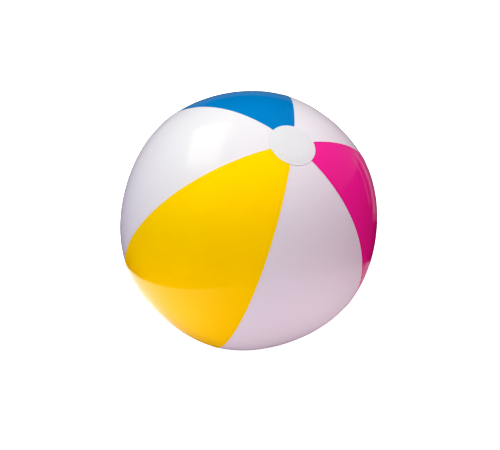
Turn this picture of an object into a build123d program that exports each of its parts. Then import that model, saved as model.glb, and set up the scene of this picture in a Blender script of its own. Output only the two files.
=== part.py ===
from build123d import *
from math import acos, atan, atan2, cos, pi, radians, sin, tan
import os

# An inflatable beach ball, blown up: six gores of soft PVC film welded edge over edge,
# a round disc welded over the tips at each end, and a push-in valve in one white gore.
# Millimetres. The origin is the ball's centre, +Z runs through both discs' centres,
# and the yellow gore faces -Y.

os.makedirs("parts", exist_ok=True)

# Ball
RADIUS = 200.0  # mean radius at the equator
GORES = 6
HALF_GORE = pi / GORES  # half of a gore's angle round the axis
POLE_RISE = 0.0452  # the ball is a little longer than wide towards its ends ...
POLE_ROUNDING = -0.0316  # ... and the ends themselves are rounded off
SEAM_RISE = 0.010  # seams stand out and gores' middles lie flat by this share of the radius
SEAM_SHARPNESS = 0.3  # share of that ripple that makes a crease at the seam

# Film and welds
FILM = 0.25
WELD = 0.03  # how deep two welded films melt into each other
LAP = 5.0  # a white gore runs this far under its coloured neighbour
JOG = 0.5  # width of the thick step where a white gore drops below its neighbour
TIP_ANGLE = radians(7.0)  # the gores end this far from the ball's axis, under the discs

# End discs
DISC_FILM = 0.35
DISC_ANGLE = radians(9.74)  # the disc's edge, seen from the ball's centre
FLAT_ANGLE = radians(5.7)  # edge of the flat middle, which the ball rests on

# Valve: heights are measured outward from the film, distances from the valve's axis
VALVE_POLAR = radians(125.0)  # angle from +Z to the valve
VALVE_HOLE_R = 12.0
FLANGE_IN_R = 11.6
FLANGE_OUT_R = 18.0
FLANGE_THICK = 0.8
STEM_TOP = -2.0  # the stem is pushed in, and its plug lies below the film
STEM_LENGTH = 13.0
STEM_R = 4.8
BORE_R = 3.5
RIM_R = 6.0
RIM_THICK = 1.2
EAR_TIP = 10.0
EAR_WIDTH = 3.6
EAR_TOP = -2.6
EAR_THICK = 1.2
LUG_TIP = 6.4
LUG_WIDTH = 4.8
LUG_HEIGHT = 1.6
GAP = 0.1  # between pieces that bend or turn against each other
EDGE_ROUND = 0.4  # of the rim and the plug's head
CORNER_ROUND = 1.4  # of the ear and the tab
HINGE_R = 0.5  # thin living hinges, as beads that turn
PLUG_HINGE_AT = 9.0
HEAD_R = 6.0
HEAD_THICK = 1.5
SHANK_TOP_R = 3.45
SHANK_END_R = 2.7
SHANK_DEPTH = 4.2
TAB_TIP = 8.8
TAB_WIDTH = 4.0
STRAP_START = 5.7
STRAP_WIDTH = 3.2
STRAP_THICK = 0.8
FLAP_R = 4.4
FLAP_THICK = 0.7
FLAP_HINGE_AT = 5.6
FLAP_WIDTH = 4.0
SKIRT_TOP = -0.9
SKIRT_BEND = -7.5
SKIRT_END = -12.2
SKIRT_THICK = 0.6
SKIRT_FOOT_R = 5.0

SECTIONS = 15  # profiles that one gore is lofted through
SPLINE_POINTS = 9  # points across one profile


def film_radius(polar, off_middle):
    """The film's outer surface: its distance from the ball's centre, at an angle from
    +Z and an angle round the axis from the middle of the gore."""
    height = cos(polar)
    from_seam = abs(abs(off_middle) - HALF_GORE) / HALF_GORE
    smooth = (1 - SEAM_SHARPNESS) * cos(pi * from_seam)
    crease = SEAM_SHARPNESS * (2 * (1 - from_seam) ** 2 - 1)
    ripple = SEAM_RISE * sin(polar) ** 4 * (smooth + crease)
    return RADIUS * (1 + POLE_RISE * height**2 + POLE_ROUNDING * height**4 + ripple)


def fan_point(tilt, swing, inset):
    """A point at a depth below the film's outer surface, in the plane through the ball's
    centre that is tilted from +Z by tilt and holds the gore's sideways direction."""
    polar = acos(cos(swing) * cos(tilt))
    off_middle = atan2(sin(swing), cos(swing) * sin(tilt))
    radius = film_radius(polar, off_middle) - inset
    return (radius * cos(swing), radius * sin(swing))


def fan_row(tilt, start, end, inset):
    """Evenly spaced points from one swing to another, all at the same depth."""
    step = (end - start) / (SPLINE_POINTS - 1)
    return [fan_point(tilt, start + i * step, inset) for i in range(SPLINE_POINTS)]


def fan_plane(azimuth, tilt):
    """The plane of fan_point's points, for the gore whose middle is at azimuth."""
    outward = Vector(sin(tilt) * cos(azimuth), sin(tilt) * sin(azimuth), cos(tilt))
    sideways = Vector(-sin(azimuth), cos(azimuth), 0)
    return Plane(origin=(0, 0, 0), x_dir=outward, z_dir=outward.cross(sideways))


def seam_swing(tilt):
    """The swing at which a fan plane meets the gore's seam."""
    return atan(tan(HALF_GORE) * sin(tilt))


def tilts(start, end, count):
    return [start + (end - start) * i / (count - 1) for i in range(count)]


def meridian_point(polar, offset):
    """A point of the ball's outline in a plane through its axis: distance out, height."""
    radius = film_radius(polar, 0) + offset
    return (radius * sin(polar), radius * cos(polar))


gore_tilts = tilts(TIP_ANGLE, pi - TIP_ANGLE, SECTIONS)

# The valve sits in the middle of the white gore that faces +Y, square to the film there.
valve_azimuth = pi / 2
slope_step = radians(0.5)
above = Vector(*meridian_point(VALVE_POLAR - slope_step, 0))
below = Vector(*meridian_point(VALVE_POLAR + slope_step, 0))
uphill = (above - below).normalized()
valve_out, valve_height = meridian_point(VALVE_POLAR, 0)
valve_centre = Vector(0, valve_out, valve_height)
valve_axis = Vector(0, uphill.Y, -uphill.X)
valve_side = Vector(-1, 0, 0)  # the strap and both hinges lie this way from the axis
valve_face = Plane(origin=valve_centre, x_dir=valve_side, z_dir=valve_axis)
valve_cut = Plane(origin=valve_centre, x_dir=valve_side, z_dir=valve_side.cross(valve_axis))
valve_line = Axis(valve_centre, valve_axis)
stem_end = STEM_TOP - STEM_LENGTH

# Coloured gores lie over the laps of the white ones, so they end at the seams.
coloured_gores = {"panel_yellow": -pi / 2, "panel_pink": pi / 6, "panel_blue": 5 * pi / 6}
for name, azimuth in coloured_gores.items():
    with BuildPart() as coloured_gore:
        for tilt in gore_tilts:
            edge = seam_swing(tilt)
            with BuildSketch(fan_plane(azimuth, tilt)):
                with BuildLine():
                    outside = Spline(*fan_row(tilt, -edge, edge, 0))
                    inside = Spline(*fan_row(tilt, -edge, edge, FILM))
                    Line(outside @ 1, inside @ 1)
                    Line(inside @ 0, outside @ 0)
                make_face()
        loft()
    coloured_gore.part.label = name
    export_step(coloured_gore.part, f"parts/{name}.step")

# White gores step down at both seams and run on under their coloured neighbours.
white_gores = {
    "panel_white_front": -pi / 6,
    "panel_white_back": pi / 2,
    "panel_white_left": -5 * pi / 6,
}
for name, azimuth in white_gores.items():
    with BuildPart() as white_gore:
        for tilt in gore_tilts:
            seam = seam_swing(tilt)
            far = seam + LAP / RADIUS
            near = seam - JOG / RADIUS
            with BuildSketch(fan_plane(azimuth, tilt)):
                with BuildLine():
                    outside = Spline(*fan_row(tilt, -seam, seam, 0))
                    Polyline(
                        outside @ 1,
                        fan_point(tilt, seam, FILM - WELD),
                        fan_point(tilt, far, FILM - WELD),
                        fan_point(tilt, far, 2 * FILM - WELD),
                        fan_point(tilt, near, 2 * FILM - WELD),
                        fan_point(tilt, near, FILM),
                    )
                    inside = Spline(*fan_row(tilt, near, -near, FILM))
                    Polyline(
                        inside @ 1,
                        fan_point(tilt, -near, 2 * FILM - WELD),
                        fan_point(tilt, -far, 2 * FILM - WELD),
                        fan_point(tilt, -far, FILM - WELD),
                        fan_point(tilt, -seam, FILM - WELD),
                        outside @ 0,
                    )
                make_face()
        loft()
        if name == "panel_white_back":
            with BuildSketch(valve_face):
                Circle(VALVE_HOLE_R)
            extrude(amount=FLANGE_OUT_R, both=True, mode=Mode.SUBTRACT)
    white_gore.part.label = name
    export_step(white_gore.part, f"parts/{name}.step")

# Each disc is flat in the middle, where the ball stands on it, and follows the gores outside.
disc_angles = tilts(FLAT_ANGLE, DISC_ANGLE, SPLINE_POINTS)
flat_r, flat_height = meridian_point(FLAT_ANGLE, DISC_FILM - WELD)
for name, side in {"end_cap_top": 1, "end_cap_bottom": -1}.items():
    over = [meridian_point(angle, DISC_FILM - WELD) for angle in disc_angles]
    under = [meridian_point(angle, -WELD) for angle in disc_angles]
    with BuildPart() as end_cap:
        with BuildSketch(Plane.XZ):
            with BuildLine():
                top = Spline(*[(out, side * height) for out, height in over])
                bottom = Spline(*[(out, side * height) for out, height in under])
                Line(top @ 1, bottom @ 1)
                Polyline(
                    bottom @ 0,
                    (0, side * (flat_height - DISC_FILM)),
                    (0, side * flat_height),
                    top @ 0,
                )
            make_face()
        revolve(axis=Axis.Z)
    end_cap.part.label = name
    export_step(end_cap.part, f"parts/{name}.step")

# The flange is a ring of thicker film, welded to the gore's inside round the hole.
flange_reach = 2 * FLANGE_OUT_R / RADIUS
with BuildPart() as valve_flange:
    for tilt in tilts(VALVE_POLAR - flange_reach, VALVE_POLAR + flange_reach, SPLINE_POINTS):
        with BuildSketch(fan_plane(valve_azimuth, tilt)):
            with BuildLine():
                outside = Spline(*fan_row(tilt, -flange_reach, flange_reach, FILM - WELD))
                inside = Spline(*fan_row(tilt, -flange_reach, flange_reach, FILM - WELD + FLANGE_THICK))
                Line(outside @ 1, inside @ 1)
                Line(inside @ 0, outside @ 0)
            make_face()
    loft()
    with BuildSketch(valve_face):
        Circle(FLANGE_OUT_R)
        Circle(FLANGE_IN_R, mode=Mode.SUBTRACT)
    extrude(amount=FLANGE_OUT_R, both=True, mode=Mode.INTERSECT)
valve_flange.part.label = "valve_flange"
export_step(valve_flange.part, "parts/valve_flange.step")

# The skirt is the thin web from the flange down to the foot of the stem.
with BuildPart() as valve_skirt:
    with BuildSketch(valve_cut):
        with BuildLine():
            Polyline(
                (FLANGE_IN_R, SKIRT_TOP),
                (FLANGE_IN_R - SKIRT_THICK / 3, SKIRT_BEND),
                (SKIRT_FOOT_R, SKIRT_END),
                (SKIRT_FOOT_R, SKIRT_END + SKIRT_THICK),
                (FLANGE_IN_R - 4 * SKIRT_THICK / 3, SKIRT_BEND + SKIRT_THICK / 2),
                (FLANGE_IN_R - SKIRT_THICK, SKIRT_TOP),
                close=True,
            )
        make_face()
    revolve(axis=valve_line)
valve_skirt.part.label = "valve_skirt"
export_step(valve_skirt.part, "parts/valve_skirt.step")

# The stem is a tube with a rounded rim, an ear that the strap hangs on and a lug for the flap.
with BuildPart() as valve_stem:
    with BuildSketch(valve_cut) as stem_profile:
        with BuildLine():
            Polyline(
                (BORE_R, STEM_TOP),
                (RIM_R, STEM_TOP),
                (RIM_R, STEM_TOP - RIM_THICK),
                (STEM_R, STEM_TOP - RIM_THICK),
                (STEM_R, stem_end),
                (BORE_R, stem_end),
                close=True,
            )
        make_face()
        fillet(stem_profile.vertices().group_by(Axis.X)[-1], radius=EDGE_ROUND)
    revolve(axis=valve_line)
    with BuildSketch(valve_face.offset(EAR_TOP)) as ear_outline:
        with Locations((EAR_TIP / 2, 0)):
            Rectangle(EAR_TIP, EAR_WIDTH)
        fillet(ear_outline.vertices().group_by(Axis.X)[-1], radius=CORNER_ROUND)
    extrude(amount=-EAR_THICK)
    with BuildSketch(valve_face.offset(stem_end)):
        with Locations((LUG_TIP / 2, 0)):
            Rectangle(LUG_TIP, LUG_WIDTH)
    extrude(amount=LUG_HEIGHT)
    with BuildSketch(valve_face.offset(STEM_TOP)):
        Circle(BORE_R)
    extrude(amount=-STEM_LENGTH, mode=Mode.SUBTRACT)
    with BuildSketch(valve_cut):
        with Locations((FLAP_HINGE_AT, stem_end - GAP - FLAP_THICK / 2)):
            Circle(HINGE_R + GAP)
    extrude(amount=LUG_WIDTH, both=True, mode=Mode.SUBTRACT)
valve_stem.part.label = "valve_stem"
export_step(valve_stem.part, "parts/valve_stem.step")

# The plug has a tapered shank, a flat head with rounded edges and a tab to pull it by.
with BuildPart() as valve_plug:
    with BuildSketch(valve_cut) as plug_profile:
        with BuildLine():
            Polyline(
                (0, STEM_TOP + GAP + HEAD_THICK),
                (HEAD_R, STEM_TOP + GAP + HEAD_THICK),
                (HEAD_R, STEM_TOP + GAP),
                (SHANK_TOP_R, STEM_TOP + GAP),
                (SHANK_END_R, STEM_TOP - SHANK_DEPTH),
                (0, STEM_TOP - SHANK_DEPTH),
                close=True,
            )
        make_face()
        fillet(plug_profile.vertices().group_by(Axis.X)[-1], radius=EDGE_ROUND)
    revolve(axis=valve_line)
    with BuildSketch(valve_face.offset(STEM_TOP + GAP)) as tab_outline:
        with Locations((-TAB_TIP / 2, 0)):
            Rectangle(TAB_TIP, TAB_WIDTH)
        fillet(tab_outline.vertices().group_by(Axis.X)[0], radius=CORNER_ROUND)
    extrude(amount=STRAP_THICK)
valve_plug.part.label = "valve_plug"
export_step(valve_plug.part, "parts/valve_plug.step")

# The strap runs from the plug's head to a bead over the ear, which it turns on.
with BuildPart() as plug_strap:
    with BuildSketch(valve_cut):
        with BuildLine():
            Polyline(
                (STRAP_START, STEM_TOP + GAP),
                (PLUG_HINGE_AT, STEM_TOP + GAP),
                (PLUG_HINGE_AT, STEM_TOP + GAP + STRAP_THICK),
                (STRAP_START, STEM_TOP + GAP + STRAP_THICK),
                close=True,
            )
        make_face()
        with Locations((PLUG_HINGE_AT, STEM_TOP)):
            Circle(HINGE_R)
    extrude(amount=STRAP_WIDTH / 2, both=True)
plug_strap.part.label = "plug_strap"
export_step(plug_strap.part, "parts/plug_strap.step")

# The flap closes the stem's inner end and swings inward on a bead under the lug.
with BuildPart() as check_flap:
    with BuildSketch(valve_face.offset(stem_end - GAP)):
        Circle(FLAP_R)
        with Locations((FLAP_HINGE_AT / 2, 0)):
            Rectangle(FLAP_HINGE_AT, FLAP_WIDTH)
    extrude(amount=-FLAP_THICK)
    with BuildSketch(valve_cut):
        with Locations((FLAP_HINGE_AT, stem_end - GAP - FLAP_THICK / 2)):
            Circle(HINGE_R)
    extrude(amount=FLAP_WIDTH / 2, both=True)
check_flap.part.label = "check_flap"
export_step(check_flap.part, "parts/check_flap.step")

# What the record states, in metres: the valve's place and axes, and the flat under the ball.
hinge_axis = valve_side.cross(valve_axis)
plug_hinge = valve_centre + valve_side * PLUG_HINGE_AT + valve_axis * STEM_TOP
flap_hinge = (
    valve_centre + valve_side * FLAP_HINGE_AT + valve_axis * (stem_end - GAP - FLAP_THICK / 2)
)
for label, place in {"valve": valve_centre, "plug hinge": plug_hinge, "flap hinge": flap_hinge}.items():
    print(label, *[round(value / 1000, 6) for value in place])
for label, way in {"valve axis": valve_axis, "flap hinge axis": hinge_axis}.items():
    print(label, *[round(value, 6) for value in way])
print("flat height", round(flat_height / 1000, 6), "flat radius", round(flat_r / 1000, 6))
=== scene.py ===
import math

import bmesh
import bpy
import numpy as np
from mathutils import Matrix, Vector


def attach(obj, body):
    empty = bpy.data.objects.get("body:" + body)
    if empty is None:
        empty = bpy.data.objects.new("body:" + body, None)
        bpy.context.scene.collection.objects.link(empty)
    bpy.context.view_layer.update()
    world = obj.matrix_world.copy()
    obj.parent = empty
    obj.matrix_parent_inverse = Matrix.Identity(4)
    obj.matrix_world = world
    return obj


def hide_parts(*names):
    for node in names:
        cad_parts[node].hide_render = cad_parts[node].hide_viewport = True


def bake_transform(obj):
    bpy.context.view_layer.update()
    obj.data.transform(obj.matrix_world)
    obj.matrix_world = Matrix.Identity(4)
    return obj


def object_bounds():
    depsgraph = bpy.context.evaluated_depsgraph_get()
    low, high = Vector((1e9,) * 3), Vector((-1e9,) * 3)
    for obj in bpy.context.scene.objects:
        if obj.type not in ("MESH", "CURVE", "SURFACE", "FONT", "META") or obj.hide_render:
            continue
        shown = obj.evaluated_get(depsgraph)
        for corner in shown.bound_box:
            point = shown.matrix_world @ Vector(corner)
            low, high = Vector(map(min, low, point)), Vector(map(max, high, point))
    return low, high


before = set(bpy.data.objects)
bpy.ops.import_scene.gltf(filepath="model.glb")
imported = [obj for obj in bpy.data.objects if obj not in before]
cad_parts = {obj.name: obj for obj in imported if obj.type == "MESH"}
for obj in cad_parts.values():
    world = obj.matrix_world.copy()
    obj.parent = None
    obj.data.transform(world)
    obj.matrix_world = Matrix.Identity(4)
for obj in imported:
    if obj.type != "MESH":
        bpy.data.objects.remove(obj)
cad_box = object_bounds()

# ---------------------------------------------------------------- the ball's measures, in metres
RADIUS = 0.200  # mean radius at the equator
HALF_GORE = math.pi / 6
POLE_RISE = 0.0452
POLE_ROUNDING = -0.0316
SEAM_RISE = 0.010
SEAM_SHARPNESS = 0.3
FILM = 0.00025
LAP = 0.005  # a white gore runs this far under its coloured neighbour
DISC_FILM = 0.00035
DISC_ANGLE = math.radians(9.74)
FLAT_ANGLE = math.radians(5.7)
TIP_ANGLE = math.radians(7.0)

# Fine shape of the film. A ridge is (its place, its height, its width); a groove's height is negative.
WELD_BEAD = (0.0006, 0.00030, 0.0005)  # vinyl squeezed out on a white gore, from the seam
WELD_GROOVE = (0.0022, -0.00020, 0.0008)  # on a coloured gore, from the seam
CUT_EDGE = (0, 0.00010, 0.0005)  # rounded edge of a coloured gore
BEAD_START = -0.0008  # the bead ends this far under the neighbour
LAP_RISE = 0.0025  # a coloured gore climbs onto the lap over this distance
LAP_DROP = 0.00006
FILM_GAP = 0.00002
PUCKER_REACH = 0.009  # puckers beside a seam die away over this distance
PUCKER_HEIGHT = 0.00016
PUCKER_PITCH = 0.0105
PUCKER_WANDER = 1.6
PUCKER_STRENGTH = (0.45, 0.9, 1.2)  # mean, swing and most
PUCKER_TURNS = (0.5, 0.9)  # how fast their wander and their strength change along a seam
SEAM_PHASES = (1.7, 2.3)  # make the seams differ
SWELL_HEIGHT = 0.00030  # slow waves that run along the gores
GATHER_HEIGHT = 0.00013  # folds that radiate from under an end disc
GATHER_REACH = 0.045
GATHER_COUNT, GATHER_GROUPS = 37, 5
GATHER_PHASES = (1.1, 2.1)  # of their groups, and of the lower end
FLAT_BLUR = 0.0001
LEAST_COSINE = 0.5  # the flat is only near the ends, so this keeps the sum finite elsewhere
RNG_SEED = 7

# Meshes of the gores: points from end to end and across, and distances from a seam, dense at the weld
ROWS = 300
MIDDLE_COLUMNS = 70
LAP_STEPS = 5
END_SHARE = 0.25  # share of the rows that crowd towards the ends
EDGE_SHARE = 0.42  # near the tips, the seam's columns take at most this share of the half gore
SEAM_STEPS = np.array([
    0, 0.0003, 0.0006, 0.0009, 0.0012, 0.0018, 0.0026,
    0.0034, 0.0042, 0.0050, 0.0058, 0.0068, 0.0080, 0.010,
])

# The end discs, with ridges measured from the edge inwards, and one in the gores outside the edge
DISC_TROUGH = (0.0014, -0.00045, 0.0010)
DISC_GROOVE = (0.0032, -0.00016, 0.0011)
DISC_RIBS = (0.0032, 0.00008, 0.0014)
DISC_EDGE = (0, 0.00014, 0.0006)
DISC_CRINKLE = (0.007, 0.00034, 0.005)
RIB_COUNT, CRINKLE_COUNT = 90, 44
CRINKLE_SLANT = 260  # radians per metre outwards
CRINKLE_PLACE = -0.75  # azimuth where the crinkles are strongest
CRINKLE_FOCUS = 5  # how quickly they die away to both sides of it
DISC_RINGS = (0.0004, 0.024, 20), (0.0252, 34)  # from the hole in the middle, and out to the edge
DISC_STEPS = 180
DISC_HOLE = 0.0006
CLEAR_START, CLEAR_END = -0.0003, 0.004  # laps lie flat until this far outside a disc's edge
SHARP_ANGLE = 40

# The valve, in the back white gore
VALVE_POLAR = math.radians(125.0)
VALVE_AXIS = Vector((0, 0.838875, -0.544324))  # the film's outward normal at the valve's place
VALVE_PLACE = Vector((0, 0.164969, -0.115512))
VALVE_ALONG = Vector((-1, 0, 0))
VALVE_SIDE = VALVE_AXIS.cross(VALVE_ALONG)
VALVE_HOLE = 0.012
VALVE_WELD = (0.0152, -0.00018, 0.0011)
FLANGE_RIM = (0.0181, 0.00016, 0.0009)
CALM_START, CALM_END = 0.018, 0.034  # the film is stiff out to the flange's edge
PATCH_REACH = 0.030  # the film round the valve is meshed in rings out to here
PATCH_RINGS = 26
PATCH_CROWDING = 1.5  # the rings get closer towards the hole
VALVE_SECTOR = 0.5  # sine of the azimuth: only points beyond it can be near the valve
FAR_AWAY = 1.0
LEAST_DEPTH = 0.05  # keeps directions that miss the valve's plane finite
SKIRT_POINTS = ((0.0113, -0.0008), (0.0113, -0.0095), (0.0047, -0.0119))
SKIRT_THICK = 0.0006
SKIRT_RIPPLE = 0.00012
SKIRT_RINGS, SKIRT_STEPS = 28, 96
STRAP_FROM, STRAP_TO = 0.0057, 0.0098
STRAP_WIDTH, STRAP_THICK = 0.0032, 0.0008
STRAP_LEVEL = -0.0015
STRAP_DROP = 0.0012  # its end bends down into the stem's ear
STRAP_BEND = 0.6  # share of its length where that bend starts
STRAP_WAIST, STRAP_THINNING = 0.22, 0.3  # how much narrower and thinner its middle is
STRAP_SQUARENESS = 0.75  # its section is between an oval and a rectangle
STRAP_ROWS, STRAP_COLUMNS = 26, 20

# Gores in the order round the ball: name, azimuth of the middle, kind of film
GORES = {
    "gore_yellow": ("panel_yellow", -90, "yellow"),
    "gore_white_front": ("panel_white_front", -30, "white"),
    "gore_pink": ("panel_pink", 30, "pink"),
    "gore_white_back": ("panel_white_back", 90, "white"),
    "gore_blue": ("panel_blue", 150, "blue"),
    "gore_white_left": ("panel_white_left", 210, "white"),
}


# ---------------------------------------------------------------- shape of the film
def film_radius(polar, azimuth):
    """Distance of the film's outer surface from the ball's centre; seams at 0, 60, 120 degrees ..."""
    height = np.cos(polar)
    from_seam = np.abs((azimuth / HALF_GORE + 1) % 2 - 1)
    smooth = (1 - SEAM_SHARPNESS) * np.cos(math.pi * from_seam)
    crease = SEAM_SHARPNESS * (2 * (1 - from_seam) ** 2 - 1)
    ripple = SEAM_RISE * np.sin(polar) ** 4 * (smooth + crease)
    return RADIUS * (1 + POLE_RISE * height**2 + POLE_ROUNDING * height**4 + ripple)


def ridge(x, place, height, width):
    """A smooth ridge across x."""
    return height * np.exp(-(((x - place) / width) ** 2))


def waves(count, seed):
    """Numbers for a sum of sines: (turns round the ball, turns along it, phase, share)."""
    rng = np.random.default_rng(seed)
    around = rng.integers(5, 34, count)
    along = rng.uniform(-2.5, 2.5, count)
    phase = rng.uniform(0, 2 * math.pi, count)
    share = rng.uniform(0.4, 1.0, count) / np.sqrt(around)
    return np.column_stack([around, along, phase, share])


SWELLS = waves(14, RNG_SEED)
SWELLS[:, 3] /= SWELLS[:, 3].sum()
PUCKER_WAVES = waves(6, RNG_SEED + 1)


def swell(polar, azimuth):
    """Slow waves that run from end to end, as blown film has."""
    lift = np.zeros_like(polar)
    for around, along, phase, share in SWELLS:
        lift += share * np.sin(around * azimuth + along * polar + phase)
    return SWELL_HEIGHT * lift * np.sin(polar) ** 1.5


def puckers(polar, azimuth, from_seam):
    """Short gathers across a seam, strong in some places and absent in others."""
    along = polar * RADIUS * 2 * math.pi / PUCKER_PITCH
    seam = np.round(azimuth / (2 * HALF_GORE))
    wander = np.zeros_like(polar)
    strength = np.zeros_like(polar)
    mean, swing, most = PUCKER_STRENGTH
    for turns, _, phase, share in PUCKER_WAVES:
        wander += PUCKER_WANDER * np.sin(turns * PUCKER_TURNS[0] * polar + phase + SEAM_PHASES[0] * seam)
        strength += share * np.sin(turns * PUCKER_TURNS[1] * polar + 2 * phase + SEAM_PHASES[1] * seam)
    strength = np.clip(mean + swing * strength, 0, most)
    fade = np.exp(-np.abs(from_seam) / PUCKER_REACH)
    return PUCKER_HEIGHT * strength * fade * np.sin(along + wander) * np.sin(polar) ** 2


def end_gathers(polar, azimuth):
    """Small folds that radiate from under an end disc, and the trough just outside its edge."""
    out = np.minimum(polar, math.pi - polar) - DISC_ANGLE
    fade = np.exp(-np.abs(out) / GATHER_REACH)
    side = np.where(polar < math.pi / 2, 0.0, GATHER_PHASES[1])
    groups = 0.5 + 0.5 * np.sin(GATHER_GROUPS * azimuth + GATHER_PHASES[0] + side)
    fine = np.sin(GATHER_COUNT * azimuth + side) * groups
    return GATHER_HEIGHT * fade * fine + ridge(out * RADIUS, *DISC_TROUGH)


def valve_distance(polar, azimuth):
    """Distance to the valve's axis; away from the back white gore, a large number."""
    near = np.linalg.norm(valve_plane(polar, azimuth), axis=-1)
    return np.where(np.sin(azimuth) > VALVE_SECTOR, near, FAR_AWAY)


def away_from_valve(polar, azimuth):
    """0 on the valve's stiff flange, 1 some way off."""
    return smooth_step(valve_distance(polar, azimuth), CALM_START, CALM_END)


def valve_weld(polar, azimuth):
    """A pressed weld ring over the flange, and the flange's outer edge showing through the film."""
    out = valve_distance(polar, azimuth)
    return ridge(out, *VALVE_WELD) + ridge(out, *FLANGE_RIM)


def smooth_step(x, start, end):
    t = np.clip((x - start) / (end - start), 0, 1)
    return t * t * (3 - 2 * t)


def surface(polar, azimuth, lift):
    """Points at a height over the film's ideal surface."""
    from_seam = seam_distance(polar, azimuth)
    ripples = swell(polar, azimuth) + puckers(polar, azimuth, from_seam) + end_gathers(polar, azimuth)
    radius = film_radius(polar, azimuth) + lift
    radius += ripples * away_from_valve(polar, azimuth) + valve_weld(polar, azimuth)
    flat = flat_height() / np.maximum(np.abs(np.cos(polar)), LEAST_COSINE)
    near_end = np.minimum(polar, math.pi - polar) < 2 * FLAT_ANGLE
    radius = np.where(near_end, soft_min(radius, flat + lift - DISC_FILM), radius)
    ring = np.sin(polar) * radius
    return np.stack([ring * np.cos(azimuth), ring * np.sin(azimuth), np.cos(polar) * radius], -1)


def soft_min(a, b):
    """The smaller of two heights, with a slight rounding where they meet."""
    return 0.5 * (a + b - np.sqrt((a - b) ** 2 + FLAT_BLUR**2))


def flat_height():
    """Height of the flat that the ball stands on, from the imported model."""
    return cad_box[1].z


def seam_distance(polar, azimuth):
    """Distance to the nearest seam along the film."""
    angle = np.abs((azimuth + HALF_GORE) % (2 * HALF_GORE) - HALF_GORE)
    return angle * np.sin(polar) * RADIUS


# ---------------------------------------------------------------- meshes
def add_object(name, mesh, material, body, cad_nodes):
    ob = bpy.data.objects.new(name, mesh)
    bpy.context.scene.collection.objects.link(ob)
    mesh.materials.append(material)
    for face in mesh.polygons:
        face.use_smooth = True
    if body:
        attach(ob, body)
    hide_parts(*cad_nodes)
    return ob


def shell_mesh(name, outer, inner, closed=False, patch=None):
    """A thin closed shell between two grids of points. closed joins the last column to the first.

    patch is (block, outer rings, inner rings): rings that replace a block of cells and end in a hole.
    """
    rows, columns = outer.shape[:2]
    across = columns if closed else columns - 1
    block, outer_rings, inner_rings = patch or ((0, 0, 0, 0), np.zeros((0, 0, 3)), np.zeros((0, 0, 3)))
    outside = np.concatenate([outer.reshape(-1, 3), outer_rings.reshape(-1, 3)])
    inside = np.concatenate([inner.reshape(-1, 3), inner_rings.reshape(-1, 3)])
    count = len(outside)
    quads = []
    for r in range(rows - 1):
        for c in range(across):
            if block[0] <= r < block[1] and block[2] <= c < block[3]:
                continue
            a, b = r * columns + c, r * columns + (c + 1) % columns
            quads.append((a, a + columns, b + columns, b))
    ring = block_border(block, columns)
    for k in range(len(outer_rings)):
        start = rows * columns + k * len(ring)
        following = list(range(start, start + len(ring)))
        for i in range(len(ring)):
            n = (i + 1) % len(ring)
            quads.append((ring[i], ring[n], following[n], following[i]))
        ring = following
    faces = quads + [tuple(count + v for v in quad[::-1]) for quad in quads]
    faces += [(ring[i], ring[i - 1], count + ring[i - 1], count + ring[i]) for i in range(len(ring))]
    last = (rows - 1) * columns
    for c in range(across):
        n = (c + 1) % columns
        faces.append((c, n, count + n, count + c))
        faces.append((last + n, last + c, count + last + c, count + last + n))
    if not closed:
        for r in range(rows - 1):
            a, d = r * columns, (r + 1) * columns
            b, e = a + columns - 1, d + columns - 1
            faces.append((a, count + a, count + d, d))
            faces.append((b, e, count + e, count + b))
    mesh = bpy.data.meshes.new(name)
    mesh.from_pydata(np.concatenate([outside, inside]).tolist(), [], faces)
    mesh.update()
    mesh.validate()
    return mesh


def block_border(block, columns):
    """The grid points round a block of cells, in order; none for an empty block."""
    top, bottom, left, far = block
    if top == bottom:
        return []
    ring = [(top, c) for c in range(left, far)]
    ring += [(r, far) for r in range(top, bottom)]
    ring += [(bottom, c) for c in range(far, left, -1)]
    ring += [(r, left) for r in range(bottom, top, -1)]
    return [r * columns + c for r, c in ring]


def hole_patch(polar, azimuth):
    """The block of cells round the valve, and the angles of rings from its border to the round hole."""
    columns = polar.shape[1]
    ring = np.sin(polar) * RADIUS
    close = (np.abs(polar - VALVE_POLAR) * RADIUS < PATCH_REACH)
    close &= (np.abs(azimuth - math.pi / 2) * ring < PATCH_REACH)
    rows, cols = np.nonzero(close)
    block = (rows.min(), rows.max(), cols.min(), cols.max())
    border = np.array(block_border(block, columns))
    start = valve_plane(polar.ravel()[border], azimuth.ravel()[border])
    end = VALVE_HOLE * start / np.linalg.norm(start, axis=1, keepdims=True)
    steps = 1 - (1 - np.linspace(0, 1, PATCH_RINGS + 1)[1:]) ** PATCH_CROWDING
    plane = start[None] + (end - start)[None] * steps[:, None, None]
    point = np.array(VALVE_PLACE) + plane @ np.array([VALVE_ALONG, VALVE_SIDE])
    reach = np.linalg.norm(point, axis=-1)
    return block, np.arccos(point[..., 2] / reach), np.arctan2(point[..., 1], point[..., 0])


def valve_plane(polar, azimuth):
    """Where a direction from the ball's centre meets the plane across the valve, from its middle."""
    way = np.stack([np.sin(polar) * np.cos(azimuth), np.sin(polar) * np.sin(azimuth), np.cos(polar)], -1)
    axis, place = np.array(VALVE_AXIS), np.array(VALVE_PLACE)
    depth = np.maximum(way @ axis, LEAST_DEPTH)
    met = way * ((place @ axis) / depth)[..., None] - place
    return np.stack([met @ np.array(VALVE_ALONG), met @ np.array(VALVE_SIDE)], -1)


def sharpen(mesh):
    """Marks sharp edges, so that the film's cut edge shades crisply."""
    bm = bmesh.new()
    bm.from_mesh(mesh)
    bmesh.ops.recalc_face_normals(bm, faces=bm.faces)
    for edge in bm.edges:
        edge.smooth = edge.calc_face_angle(0) < math.radians(SHARP_ANGLE)
    bm.to_mesh(mesh)
    bm.free()


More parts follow.
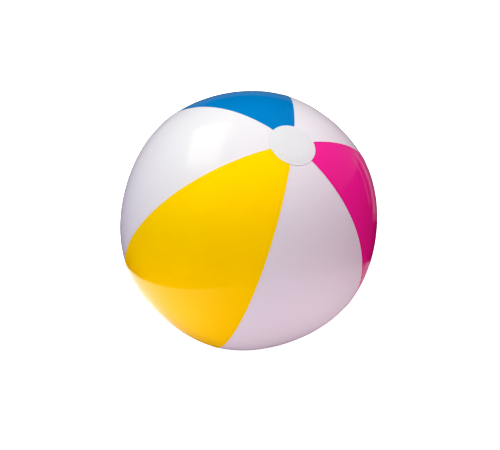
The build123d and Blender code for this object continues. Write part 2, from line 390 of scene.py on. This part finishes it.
def gore_grid(middle, overlap):
    """Polar angles, azimuths and distances inside the seam of a gore's points, with a lap of overlap."""
    ends = 0.5 * (1 - np.cos(np.linspace(0, math.pi, ROWS)))
    even = np.linspace(0, 1, ROWS)
    polar = TIP_ANGLE + (math.pi - 2 * TIP_ANGLE) * (END_SHARE * ends + (1 - END_SHARE) * even)
    ring = RADIUS * np.sin(polar)
    lap = -np.linspace(overlap, 0, LAP_STEPS)[:-1] if overlap else np.zeros(0)
    edge = np.concatenate([lap, SEAM_STEPS])
    share = np.minimum(1, EDGE_SHARE * HALF_GORE * ring / edge[-1])
    edge_angle = HALF_GORE - edge[None, :] * share[:, None] / ring[:, None]
    inner = np.linspace(1, -1, MIDDLE_COLUMNS)[1:-1]
    across = np.concatenate([edge_angle, edge_angle[:, -1:] * inner[None, :], -edge_angle[:, ::-1]], axis=1)
    azimuth = math.radians(middle) - across
    inside = (HALF_GORE - np.abs(across)) * ring[:, None]
    return np.repeat(polar[:, None], across.shape[1], axis=1), azimuth, inside


def clear_of_disc(polar):
    """0 under an end disc, 1 a few millimetres outside its edge."""
    out = (np.minimum(polar, math.pi - polar) - DISC_ANGLE) * RADIUS
    return smooth_step(out, CLEAR_START, CLEAR_END)


def coloured_lift(inside):
    """A coloured gore climbs over the white lap; the weld leaves a rounded edge and a shallow groove."""
    over_lap = FILM * (1 - smooth_step(inside, LAP, LAP + LAP_RISE))
    return FILM_GAP + over_lap + ridge(inside, *WELD_GROOVE) + ridge(inside, *CUT_EDGE)


def white_lift(inside):
    """A white gore is flat, with a fine bead where vinyl was squeezed out along the weld."""
    bead = ridge(inside, *WELD_BEAD) * (inside > BEAD_START)
    return bead - LAP_DROP * (inside < 0)


def make_gore(name, node, middle, film):
    """One gore of film; the back white one has the valve's hole."""
    overlap = LAP if film == "white" else 0.0
    polar, azimuth, inside = gore_grid(middle, overlap)
    lift = (white_lift(inside) if film == "white" else coloured_lift(inside)) * clear_of_disc(polar)
    patch = None
    if name == "gore_white_back":
        block, *angles = hole_patch(polar, azimuth)
        patch = (block, surface(*angles, 0), surface(*angles, -FILM))
    outer = surface(polar, azimuth, lift)
    inner = surface(polar, azimuth, lift - FILM)
    mesh = shell_mesh(name, outer, inner, patch=patch)
    sharpen(mesh)
    return add_object(name, mesh, FILMS[film], "ball", [node])


def make_disc(name, node, side):
    """An end disc: flat in the middle, with a welded ring and crinkles inside its edge. side is 1 or -1."""
    rim = DISC_ANGLE * RADIUS * (1 + POLE_RISE + POLE_ROUNDING)
    middle, (start, count) = DISC_RINGS
    out = np.concatenate([np.linspace(*middle), np.linspace(start, rim, count)])
    turns = np.linspace(0, 2 * math.pi, DISC_STEPS + 1)[:-1]
    angle = out / rim * DISC_ANGLE
    polar = np.repeat(angle[:, None], len(turns), axis=1)
    azimuth = np.repeat(turns[None, :], len(out), axis=0)
    from_rim = rim - out[:, None]
    ribs = np.sin(RIB_COUNT * azimuth) * ridge(from_rim, *DISC_RIBS)
    here = (0.5 + 0.5 * np.cos(azimuth - CRINKLE_PLACE)) ** CRINKLE_FOCUS
    folds = np.sin(CRINKLE_COUNT * azimuth + CRINKLE_SLANT * out[:, None])
    crinkle = here * folds * ridge(from_rim, *DISC_CRINKLE)
    lift = DISC_FILM + ridge(from_rim, *DISC_GROOVE) + ribs + ridge(from_rim, *DISC_EDGE) + crinkle
    if side < 0:
        polar = math.pi - polar
    outer = surface(polar, azimuth, lift)
    inner = surface(polar, azimuth, lift - DISC_FILM)
    mesh = shell_mesh(name, outer, inner, closed=True)
    close_middle(mesh)
    sharpen(mesh)
    return add_object(name, mesh, FILMS["disc"], "ball", [node])


def close_middle(mesh):
    """Replaces the tiny hole's wall in a disc's middle by two caps."""
    bm = bmesh.new()
    bm.from_mesh(mesh)
    small = [f for f in bm.faces if all(math.hypot(v.co.x, v.co.y) < DISC_HOLE for v in f.verts)]
    bmesh.ops.delete(bm, geom=small, context="FACES")
    edges = [e for e in bm.edges if len(e.link_faces) == 1]
    bmesh.ops.holes_fill(bm, edges=edges, sides=0)
    bm.to_mesh(mesh)
    bm.free()


# ---------------------------------------------------------------- the valve's soft pieces
def in_valve(across, along, height):
    """A point from distances across the valve, along its side and out along its axis."""
    return VALVE_PLACE + VALVE_ALONG * across + VALVE_SIDE * along + VALVE_AXIS * height


def revolve(name, profile, steps):
    """A closed body turned round the valve's axis, from a closed profile of (radius, height)."""
    bm = bmesh.new()
    rings = []
    for i in range(steps):
        turn = 2 * math.pi * i / steps
        c, s = math.cos(turn), math.sin(turn)
        rings.append([bm.verts.new(in_valve(r * c, r * s, h)) for r, h in profile])
    for i in range(steps):
        one, two = rings[i], rings[(i + 1) % steps]
        for k in range(len(profile)):
            n = (k + 1) % len(profile)
            bm.faces.new((one[k], one[n], two[n], two[k]))
    bmesh.ops.recalc_face_normals(bm, faces=bm.faces)
    mesh = bpy.data.meshes.new(name)
    bm.to_mesh(mesh)
    bm.free()
    return mesh


def skirt_line(t):
    """The web's middle line, from the film at 0 to the stem's foot at 1, with a soft roll in it."""
    start, bend, end = SKIRT_POINTS
    a = [start[i] + (bend[i] - start[i]) * t for i in (0, 1)]
    b = [bend[i] + (end[i] - bend[i]) * t for i in (0, 1)]
    line = [a[i] + (b[i] - a[i]) * t for i in (0, 1)]
    ripple = SKIRT_RIPPLE * math.sin(3 * math.pi * t) * math.sin(math.pi * t)
    return line[0] + ripple, line[1] - ripple


def make_skirt():
    """The thin web that lets the stem be pushed in or pulled out, with a soft roll in its middle."""
    middle = [skirt_line(k / (SKIRT_RINGS - 1)) for k in range(SKIRT_RINGS)]
    outer, inner = [], []
    for k, (r, h) in enumerate(middle):
        before, after = middle[max(k - 1, 0)], middle[min(k + 1, SKIRT_RINGS - 1)]
        dr, dh = after[0] - before[0], after[1] - before[1]
        length = math.hypot(dr, dh)
        half = 0.5 * SKIRT_THICK
        outer.append((r + half * dh / length, h - half * dr / length))
        inner.append((r - half * dh / length, h + half * dr / length))
    mesh = revolve("valve_web", outer + inner[::-1], SKIRT_STEPS)
    ob = add_object("valve_web", mesh, VALVE, None, ["valve_skirt"])
    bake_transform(ob)


def make_strap():
    """The ribbon that keeps the plug on the stem, thinner in its middle where it bends."""
    bm = bmesh.new()
    rows = []
    for i in range(STRAP_ROWS):
        t = i / (STRAP_ROWS - 1)
        along = STRAP_FROM + (STRAP_TO - STRAP_FROM) * t
        middle = math.sin(math.pi * t) ** 2
        wide = 0.5 * STRAP_WIDTH * (1 - STRAP_WAIST * middle)
        thick = 0.5 * STRAP_THICK * (1 - STRAP_THINNING * middle)
        level_here = STRAP_LEVEL - STRAP_DROP * max(0, (t - STRAP_BEND) / (1 - STRAP_BEND)) ** 2
        row = []
        for k in range(STRAP_COLUMNS):
            turn = 2 * math.pi * k / STRAP_COLUMNS
            c, s = math.cos(turn), math.sin(turn)
            square = max(abs(c), abs(s)) ** -STRAP_SQUARENESS
            point = in_valve(along, wide * c * square, level_here + thick * s * square)
            row.append(bm.verts.new(point))
        rows.append(row)
    for one, two in zip(rows, rows[1:]):
        for k in range(STRAP_COLUMNS):
            n = (k + 1) % STRAP_COLUMNS
            bm.faces.new((one[k], one[n], two[n], two[k]))
    bm.faces.new(rows[0][::-1])
    bm.faces.new(rows[-1])
    bmesh.ops.recalc_face_normals(bm, faces=bm.faces)
    mesh = bpy.data.meshes.new("plug_ribbon")
    bm.to_mesh(mesh)
    bm.free()
    ob = add_object("plug_ribbon", mesh, VALVE, None, ["plug_strap"])
    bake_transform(ob)


# ---------------------------------------------------------------- materials
VINYL_IOR = 1.53
CLOUD_SCALE, SCUFF_SCALE, WAVE_SCALE, GRAIN_SCALE = 14, 55, 38, 1400
SCUFF_RANGE = (0.75, 1.35)
WAVE_BUMP = (0.0004, 0.25)  # distance, strength
GRAIN_BUMP = (0.00003, 0.12)


def new_material(name):
    material = bpy.data.materials.new(name)
    material.use_nodes = True
    nodes, links = material.node_tree.nodes, material.node_tree.links
    nodes.clear()
    return material, nodes, links


def noise_node(nodes, links, coords, scale, detail):
    node = nodes.new("ShaderNodeTexNoise")
    node.inputs["Scale"].default_value = scale
    node.inputs["Detail"].default_value = detail
    links.new(coords.outputs["Object"], node.inputs["Vector"])
    return node


def map_range(nodes, links, source, low, high):
    """Spreads the middle of a noise over a range."""
    node = nodes.new("ShaderNodeMapRange")
    node.inputs["To Min"].default_value = low
    node.inputs["To Max"].default_value = high
    node.inputs["From Min"].default_value = 0.3
    node.inputs["From Max"].default_value = 0.7
    links.new(source, node.inputs["Value"])
    return node


def bump(nodes, links, height, distance, strength, below=None):
    """A bump from a noise, on top of another bump if there is one below."""
    node = nodes.new("ShaderNodeBump")
    node.inputs["Strength"].default_value = strength
    node.inputs["Distance"].default_value = distance
    links.new(height.outputs["Fac"], node.inputs["Height"])
    if below:
        links.new(below.outputs["Normal"], node.inputs["Normal"])
    return node


def vinyl(name, colour, deep, glow, through, gloss_tint=(1, 1, 1), roughness=0.09):
    """Glossy soft PVC film: colour with cloudy pigment, a clear gloss, and light that comes through it."""
    material, nodes, links = new_material(name)
    coords = nodes.new("ShaderNodeTexCoord")
    cloud = noise_node(nodes, links, coords, CLOUD_SCALE, detail=4)
    mix = nodes.new("ShaderNodeMix")
    mix.data_type = "RGBA"
    mix.inputs["A"].default_value = (*colour, 1)
    mix.inputs["B"].default_value = (*deep, 1)
    spread = map_range(nodes, links, cloud.outputs["Fac"], 0.0, 1.0)
    links.new(spread.outputs["Result"], mix.inputs["Factor"])

    scuff = noise_node(nodes, links, coords, SCUFF_SCALE, detail=5)
    low, high = (roughness * part for part in SCUFF_RANGE)
    rough = map_range(nodes, links, scuff.outputs["Fac"], low, high)

    wave = noise_node(nodes, links, coords, WAVE_SCALE, detail=1)
    grain = noise_node(nodes, links, coords, GRAIN_SCALE, detail=1)
    coarse = bump(nodes, links, wave, *WAVE_BUMP)
    fine = bump(nodes, links, grain, *GRAIN_BUMP, below=coarse)

    skin = nodes.new("ShaderNodeBsdfPrincipled")
    skin.inputs["IOR"].default_value = VINYL_IOR
    skin.inputs["Specular Tint"].default_value = (*gloss_tint, 1)
    links.new(mix.outputs["Result"], skin.inputs["Base Color"])
    links.new(rough.outputs["Result"], skin.inputs["Roughness"])
    links.new(fine.outputs["Normal"], skin.inputs["Normal"])
    passed = nodes.new("ShaderNodeBsdfTranslucent")
    passed.inputs["Color"].default_value = (*glow, 1)
    both = nodes.new("ShaderNodeMixShader")
    both.inputs["Fac"].default_value = through
    links.new(skin.outputs["BSDF"], both.inputs[1])
    links.new(passed.outputs["BSDF"], both.inputs[2])
    output = nodes.new("ShaderNodeOutputMaterial")
    links.new(both.outputs["Shader"], output.inputs["Surface"])
    return material


# Kinds of film: colour, colour of the clouds in it, light that comes through, its share, gloss tint
FILMS = {
    kind: vinyl("film_" + kind, *look)
    for kind, look in {
        "yellow": ((1.0, 0.65, 0.0), (0.97, 0.61, 0.0), (0.9, 0.40, 0.0), 0.25, (1.0, 0.7, 0.05)),
        "pink": ((0.82, 0.010, 0.30), (0.79, 0.010, 0.27), (0.95, 0.010, 0.26), 0.25, (1.0, 0.4, 0.65)),
        "blue": ((0.0, 0.19, 0.52), (0.0, 0.175, 0.49), (0.0, 0.14, 0.5), 0.25, (0.05, 0.55, 1.0)),
        "white": ((0.80, 0.80, 0.80), (0.78, 0.78, 0.785), (0.88, 0.60, 0.90), 0.35),
        "disc": ((0.71, 0.705, 0.725), (0.69, 0.685, 0.705), (0.82, 0.71, 0.82), 0.25),
    }.items()
}
VALVE = vinyl("valve_vinyl", (0.78, 0.80, 0.83), (0.74, 0.77, 0.81), (0.8, 0.82, 0.85), 0.3, roughness=0.3)

# ---------------------------------------------------------------- the ball
for piece, (node, middle, film) in GORES.items():
    make_gore(piece, node, middle, film)
make_disc("disc_top", "end_cap_top", 1)
make_disc("disc_bottom", "end_cap_bottom", -1)

make_skirt()
make_strap()
for node in ("valve_flange", "valve_stem", "valve_plug", "check_flap"):
    for material_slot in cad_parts[node].material_slots:
        material_slot.material = VALVE

# ---------------------------------------------------------------- camera
AZIMUTH = math.radians(12.0)
ELEVATION = math.radians(52.3)
ROLL = math.radians(30.0)
DISTANCE = 7.38 * RADIUS
AIM_RIGHT = 0.0022
AIM_DOWN = 0.0064
back = Vector((
    math.sin(AZIMUTH) * math.cos(ELEVATION),
    -math.cos(AZIMUTH) * math.cos(ELEVATION),
    math.sin(ELEVATION),
))
level = Vector((math.cos(AZIMUTH), math.sin(AZIMUTH), 0))
right = math.cos(ROLL) * level + math.sin(ROLL) * back.cross(level)
up = back.cross(right)

camera = bpy.data.cameras.new("camera")
camera.lens = 67.8
camera.sensor_width = 36.0
camera_object = bpy.data.objects.new("camera", camera)
bpy.context.scene.collection.objects.link(camera_object)
camera_object.location = back * DISTANCE
aim = right * AIM_RIGHT - up * AIM_DOWN
look = (back * DISTANCE - aim).normalized()
side = up.cross(look).normalized()
camera_object.rotation_mode = "QUATERNION"
camera_object.rotation_quaternion = Matrix((side, look.cross(side), look)).transposed().to_quaternion()
bpy.context.scene.camera = camera_object


# ---------------------------------------------------------------- stage
STAGE_RADIUS = 12.0
FLOOR_GAP = 0.0002


def put_mesh(name, bm):
    """Turns a bmesh into an object in the scene."""
    mesh = bpy.data.meshes.new(name)
    bm.to_mesh(mesh)
    bm.free()
    ob = bpy.data.objects.new(name, mesh)
    bpy.context.scene.collection.objects.link(ob)
    return ob


def white_sheet(name, bm):
    """A stage mesh that shows plain white and sends no light to the ball."""
    ob = put_mesh(name, bm)
    material, nodes, links = new_material(name + "_white")
    skin = nodes.new("ShaderNodeBsdfPrincipled")
    skin.inputs["Base Color"].default_value = (0.9, 0.9, 0.9, 1)
    skin.inputs["Roughness"].default_value = 0.7
    skin.inputs["Emission Color"].default_value = (1, 1, 1, 1)
    skin.inputs["Emission Strength"].default_value = 1.0
    output = nodes.new("ShaderNodeOutputMaterial")
    links.new(skin.outputs["BSDF"], output.inputs["Surface"])
    ob.data.materials.append(material)
    ob.visible_diffuse = False
    ob.visible_glossy = False
    ob.visible_transmission = False
    ob.visible_shadow = False
    return ob


def make_stage():
    """The floor, and a wall all round it."""
    bm = bmesh.new()
    bmesh.ops.create_circle(bm, cap_ends=True, segments=96, radius=STAGE_RADIUS)
    white_sheet("floor", bm).location.z = cad_box[0].z - FLOOR_GAP

    bm = bmesh.new()
    bmesh.ops.create_icosphere(bm, subdivisions=4, radius=STAGE_RADIUS)
    white_sheet("backdrop", bm)


# ---------------------------------------------------------------- light
def in_view(vector):
    """A vector given along the camera's right, up and back, in ball radii."""
    return (right * vector[0] + up * vector[1] + back * vector[2]) * RADIUS


def card(name, rays, place, width, height, radiance, tint=(1, 1, 1)):
    """A flat light facing the ball, for diffuse or for glossy rays. The vectors are for in_view."""
    data = bpy.data.lights.new(name, "AREA")
    across, along = in_view(width), in_view(height)
    centre = in_view(place)
    along -= across * along.dot(across) / across.length_squared
    facing = across.cross(along).normalized()
    if facing.dot(centre) < 0:
        facing, along = -facing, -along
    data.shape = "RECTANGLE"
    data.size, data.size_y = across.length, along.length
    data.energy = radiance * math.pi * data.size * data.size_y
    data.color = tint
    ob = bpy.data.objects.new(name, data)
    bpy.context.scene.collection.objects.link(ob)
    ob.rotation_mode = "QUATERNION"
    axes = (across.normalized(), along.normalized(), facing)
    ob.rotation_quaternion = Matrix(axes).transposed().to_quaternion()
    ob.location = centre
    ob.visible_camera = False
    ob.visible_diffuse = rays == "diffuse"
    ob.visible_transmission = rays == "diffuse"
    ob.visible_glossy = rays == "glossy"


def make_world(strength):
    world = bpy.data.worlds.new("studio")
    world.use_nodes = True
    world.node_tree.nodes["Background"].inputs["Color"].default_value = (1, 1, 1, 1)
    world.node_tree.nodes["Background"].inputs["Strength"].default_value = strength
    bpy.context.scene.world = world
    world.cycles_visibility.glossy = False


def ramp(nodes, links, source, reach, values):
    """A smooth change between two values over a reach of the source, in ball radii."""
    node = nodes.new("ShaderNodeMapRange")
    node.interpolation_type = "SMOOTHSTEP"
    node.inputs["From Min"].default_value = reach[0] * RADIUS
    node.inputs["From Max"].default_value = reach[1] * RADIUS
    node.inputs["To Min"].default_value = values[0]
    node.inputs["To Max"].default_value = values[1]
    links.new(source, node.inputs["Value"])
    return node.outputs["Result"]


def math_node(nodes, links, operation, first, second=None):
    """A sum, product or other step on a value; second is a number or another value."""
    node = nodes.new("ShaderNodeMath")
    node.operation = operation
    links.new(first, node.inputs[0])
    if isinstance(second, float):
        node.inputs[1].default_value = second
    elif second:
        links.new(second, node.inputs[1])
    return node.outputs["Value"]


def vector_node(nodes, links, operation, first, second):
    """The distance to a point, or how far a point lies along a direction."""
    node = nodes.new("ShaderNodeVectorMath")
    node.operation = operation
    node.inputs[1].default_value = second
    links.new(first, node.inputs[0])
    return node.outputs["Value"]


def lit_table(radiance, tint):
    """A glowing ellipse under the ball, for the bright table that the ball's underside mirrors.

    It is darker under the ball, a painted shadow of the ball on the table, and along a valley that runs
    away from the camera, near it and to the right.
    """
    bm = bmesh.new()
    bmesh.ops.create_circle(bm, cap_ends=True, segments=96, radius=1.0)
    for vert in bm.verts:
        x, z, _ = vert.co
        across, depth = TABLE_CENTRE[0] + TABLE_SIZE[0] * x, TABLE_CENTRE[1] + TABLE_SIZE[1] * z
        vert.co = in_view((across, TABLE_LEVEL, depth))
    ob = put_mesh("lit_table", bm)
    material, nodes, links = new_material("lit_table")
    point = nodes.new("ShaderNodeTexCoord").outputs["Object"]
    away = vector_node(nodes, links, "DISTANCE", point, in_view((0, TABLE_LEVEL, 0)))
    across = vector_node(nodes, links, "DOT_PRODUCT", point, right)
    nearer = vector_node(nodes, links, "DOT_PRODUCT", point, back)
    off_valley = math_node(nodes, links, "ADD", across, -VALLEY_PLACE * RADIUS)
    aside = math_node(nodes, links, "ABSOLUTE", off_valley)
    # painted shadow: the glow dims under the ball, where the ball's shadow would darken the table
    shade = ramp(nodes, links, away, *BALL_SHADOW_ON_TABLE)
    front = ramp(nodes, links, nearer, *IN_FRONT)
    valley = ramp(nodes, links, aside, *BESIDE_VALLEY)
    reach, shares = LEFT_TO_RIGHT
    fall = ramp(nodes, links, across, reach, [share * radiance for share in shares])
    strength = shade
    for factor in (front, valley, fall):
        strength = math_node(nodes, links, "MULTIPLY", strength, factor)
    glow = nodes.new("ShaderNodeEmission")
    glow.inputs["Color"].default_value = (*tint, 1)
    links.new(strength, glow.inputs["Strength"])
    output = nodes.new("ShaderNodeOutputMaterial")
    links.new(glow.outputs["Emission"], output.inputs["Surface"])
    ob.data.materials.append(material)
    ob.visible_camera = False
    ob.visible_shadow = False


# The table, in ball radii: its level, and its middle and half size along the camera's right and back
TABLE_LEVEL = -1.04
TABLE_CENTRE = (0.3, -5.0)
TABLE_SIZE = (2.9, 6.4)
TABLE_RADIANCE, TABLE_TINT = 1.9, (1, 0.93, 0.97)
VALLEY_PLACE = 0.05

# How its light changes: over a reach in ball radii, between two shares of its radiance
# the dimming under the ball is a painted shadow of the ball on the table
BALL_SHADOW_ON_TABLE = (0.3, 1.6), (0.05, 1.0)
IN_FRONT = (1.2, 1.6), (1.0, 0.6)
BESIDE_VALLEY = (0.1, 0.75), (0.05, 1.0)
LEFT_TO_RIGHT = (-0.9, 1.3), (1.0, 0.28)

WORLD_STRENGTH = 0.1

# Cards: name, rays, place, width, height, radiance, tint
CARDS = (
    ("window", "glossy", (-2.56, 4.55, 1.49), (2.15, 0.6, 1.1), (-1.75, -2.1, 2.65), 2.6, (0.95, 1, 0.75)),
    ("fill_top", "diffuse", (0, 8, 0), (6, 0, 0), (0, 0, 6), 2.5, (0.93, 1, 0.93)),
    ("fill_top_left", "diffuse", (-4.6, 4.6, 4.6), (4, -4, 8), (-4, -4, 0), 4.1, (0.82, 1, 0.80)),
    ("fill_top_right", "diffuse", (4.6, 4.6, 4.6), (4, 4, -8), (-4, 4, 0), 2.1, (1, 0.94, 1)),
    ("fill_top_back", "diffuse", (4, 6, -2), (4, -2, 2), (1, 2, 8), 1.6, (0.88, 1, 1)),
    ("fill_front", "diffuse", (0, 0, 8), (6, 0, 0), (0, 6, 0), 2.05, (1, 0.82, 1.02)),
    ("fill_left", "diffuse", (-7.5, 1.5, -2.5), (0, 6, 0), (-2, 0, 6), 2.1, (1, 0.66, 1.5)),
    ("fill_right", "diffuse", (8, 0, 0), (0, 6, 0), (0, 0, 6), 0.6, (1.5, 0.1, 0.1)),
    ("fill_below", "diffuse", (0, -8, 0), (4, 0, 0), (0, 0, 4), 14.8, (1, 0.88, 0.93)),
    ("wall_top_left", "glossy", (-3, 3, -6), (6, 0, 0), (0, 6, 0), 0.15),
    ("wall_top_right", "glossy", (3, 3, -6), (6, 0, 0), (0, 6, 0), 0.15),
    ("strip_right", "glossy", (2.5, 0.94, -2.16), (0.16, 0, 0.11), (0, 1.6, 0.2), 0.5),
    ("strip_right_inner", "glossy", (2.95, 1.1, -1.55), (0.10, 0, 0.09), (0, 1.4, 0.2), 0.4),
)

# Cards inside one another make one with a soft edge: place, width, height, radiance of each
SOFT_CARD = ((4.3, 4.2, -0.9), (2.6, 0, 4.5), (-2.6, 4, 0), 0.22)
SOFT_LAYERS = 6
LAYER_STEP = 0.15  # each is this share of the largest smaller than the one before

make_stage()
make_world(WORLD_STRENGTH)
lit_table(TABLE_RADIANCE, TABLE_TINT)
for row in CARDS:
    card(*row)
place, *sides, radiance = SOFT_CARD
for layer in range(SOFT_LAYERS):
    part = 1.0 - LAYER_STEP * layer
    width, height = ([part * length for length in side] for side in sides)
    card(f"side_right_{layer}", "glossy", place, width, height, radiance)

scene = bpy.context.scene
scene.view_settings.view_transform = "Standard"
